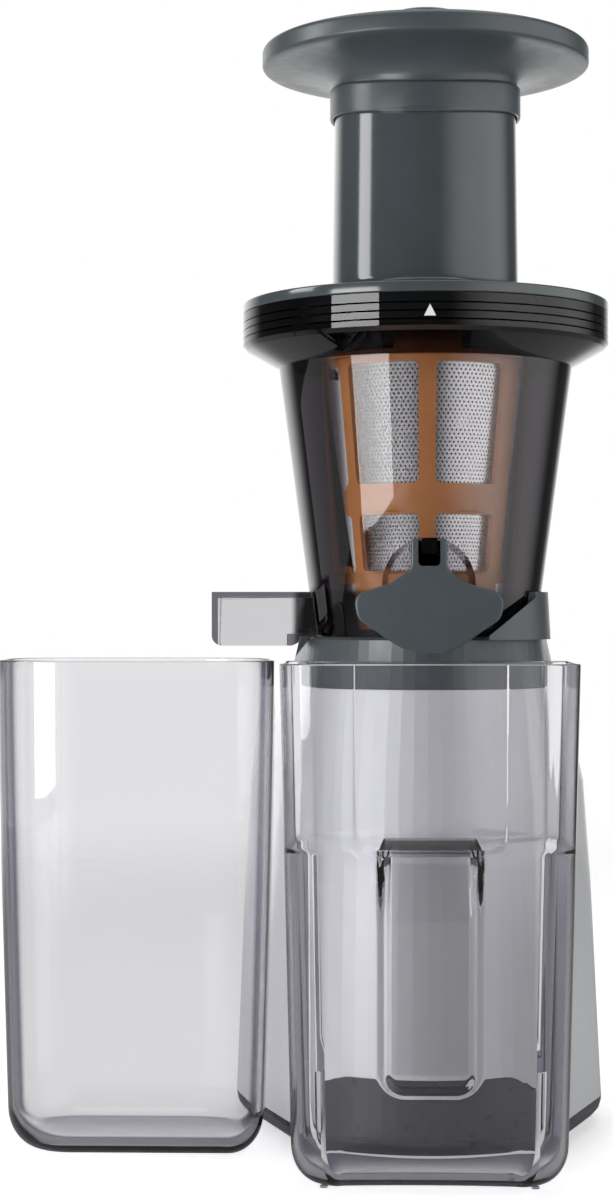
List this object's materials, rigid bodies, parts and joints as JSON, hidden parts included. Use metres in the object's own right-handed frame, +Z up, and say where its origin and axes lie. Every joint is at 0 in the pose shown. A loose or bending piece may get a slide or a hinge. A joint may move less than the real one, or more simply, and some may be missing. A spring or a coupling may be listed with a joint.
{
  "type": "slow juicer",
  "caption": "Vertical slow juicer: tapered motor base, lift-off bowl with strainer drum and scroll, feed tube lid, pusher, hinged pulp cover, pulp container and juice jug.",
  "frame": {"origin": "on the floor, at the middle of the outline of the whole set (base, container and jug)", "axes": "+Z up, -Y towards the user, -X towards the juice jug"},
  "size_m": [0.239, 0.182, 0.438],
  "materials": {
    "silver_body": "fine silver lacquer, satin",
    "foot_plastic": "moulded, fine matt texture",
    "foot_rubber": "matt",
    "slate_plastic": "moulded, satin",
    "slate_gloss": "moulded, polished",
    "cast_metal": "die cast",
    "screw_steel": "zinc plated",
    "bearing_steel": "ground",
    "motor_steel": "rolled sheet",
    "laminations": "stacked electrical steel",
    "copper_wire": "enamelled winding",
    "circuit_board": "lacquered laminate",
    "nylon": "moulded nylon",
    "smoky_clear": "smoky transparent plastic, polished",
    "silicone": "soft, satin",
    "amber_plastic": "translucent amber, polished",
    "mesh_steel": "etched sheet with fine holes",
    "white_mark": "printed mark",
    "scroll_plastic": "moulded, satin",
    "tinted_clear": "lightly smoked transparent plastic, polished",
    "switch_plastic": "moulded, polished"
  },
  "bodies": {
    "base": {"body_shell": "silver_body", "bottom_tray": "foot_plastic", "front_block": "foot_plastic", "rubber_feet": "foot_rubber", "top_collar": "slate_plastic", "gearbox_case": "cast_metal", "gearbox_cover": "cast_metal", "gearbox_screws": "screw_steel", "case_screws": "screw_steel", "output_bearing": "bearing_steel", "spindle_bush": "nylon", "idler_pin": "bearing_steel", "motor_can": "motor_steel", "motor_end_cap": "cast_metal", "stator_core": "laminations", "field_coils": "copper_wire", "motor_bearing_top": "bearing_steel", "motor_bearing_bottom": "bearing_steel", "control_board": "circuit_board", "switch_module": "foot_plastic", "switch_bezel": "foot_plastic", "cord_gland": "foot_rubber", "rocker_pin": "screw_steel"},
    "rotor": {"rotor_shaft": "bearing_steel", "rotor_core": "laminations", "cooling_fan": "nylon", "motor_pinion": "bearing_steel"},
    "idler": {"idler_gear": "nylon"},
    "spindle": {"drive_spindle": "bearing_steel", "output_gear": "bearing_steel"},
    "bowl": {"bowl_shell": "smoky_clear", "juice_spout": "smoky_clear", "hinge_post": "smoky_clear", "hinge_pin": "screw_steel", "spindle_seal": "silicone", "drum_frame": "amber_plastic", "drum_cup": "amber_plastic", "strainer_mesh": "mesh_steel", "rim_mark": "white_mark"},
    "scroll": {"scroll": "scroll_plastic", "drive_insert": "bearing_steel"},
    "cover": {"pulp_cover": "slate_plastic", "cover_seal": "silicone"},
    "lid": {"lid": "slate_gloss"},
    "pusher": {"pusher_cap": "slate_plastic", "pusher_plunger": "slate_gloss"},
    "container": {"pulp_container": "tinted_clear", "container_feet": "tinted_clear"},
    "jug": {"juice_jug": "tinted_clear"},
    "switch": {"switch_rocker": "switch_plastic"}
  },
  "joints": [
    {"name": "spindle_spin", "type": "hinge", "parent": "base", "child": "spindle", "pos_m": [0.0465, -0.006, 0.15], "axis": [0, 0, 1], "continuous": true},
    {"name": "idler_spin", "type": "hinge", "parent": "base", "child": "idler", "pos_m": [0.0465, 0.023, 0.15], "axis": [0, 0, 1], "continuous": true},
    {"name": "rotor_spin", "type": "hinge", "parent": "base", "child": "rotor", "pos_m": [0.0465, 0.05, 0.08], "axis": [0, 0, 1], "continuous": true},
    {"name": "bowl_lift", "type": "slide", "parent": "base", "child": "bowl", "axis": [0, 0, 1], "range_m": [0, 0.12]},
    {"name": "scroll_spin", "type": "hinge", "parent": "bowl", "child": "scroll", "pos_m": [0.0465, -0.006, 0.25], "axis": [0, 0, 1], "continuous": true},
    {"name": "lid_turn", "type": "hinge", "parent": "bowl", "child": "lid", "pos_m": [0.0465, -0.006, 0.322], "axis": [0, 0, 1], "range_deg": [0, 30]},
    {"name": "pusher_lift", "type": "slide", "parent": "lid", "child": "pusher", "axis": [0, 0, 1], "range_m": [0, 0.08]},
    {"name": "cover_swing", "type": "hinge", "parent": "bowl", "child": "cover", "pos_m": [0.0465, -0.0646, 0.231], "axis": [-1, 0, 0], "range_deg": [0, 95]},
    {"name": "container_pull", "type": "slide", "parent": "base", "child": "container", "axis": [0, -1, 0], "range_m": [0, 0.15]},
    {"name": "jug_pull", "type": "slide", "parent": "base", "child": "jug", "axis": [-1, 0, 0], "range_m": [0, 0.15]},
    {"name": "switch_rock", "type": "hinge", "parent": "base", "child": "switch", "pos_m": [0.0465, 0.085, 0.027], "axis": [1, 0, 0], "range_deg": [-8, 8]}
  ],
  "couplings": [
    {"joint": "idler_spin", "follows": "spindle_spin", "ratio": -4.2727},
    {"joint": "rotor_spin", "follows": "spindle_spin", "ratio": 16.702},
    {"joint": "scroll_spin", "follows": "spindle_spin", "ratio": 1}
  ]
}
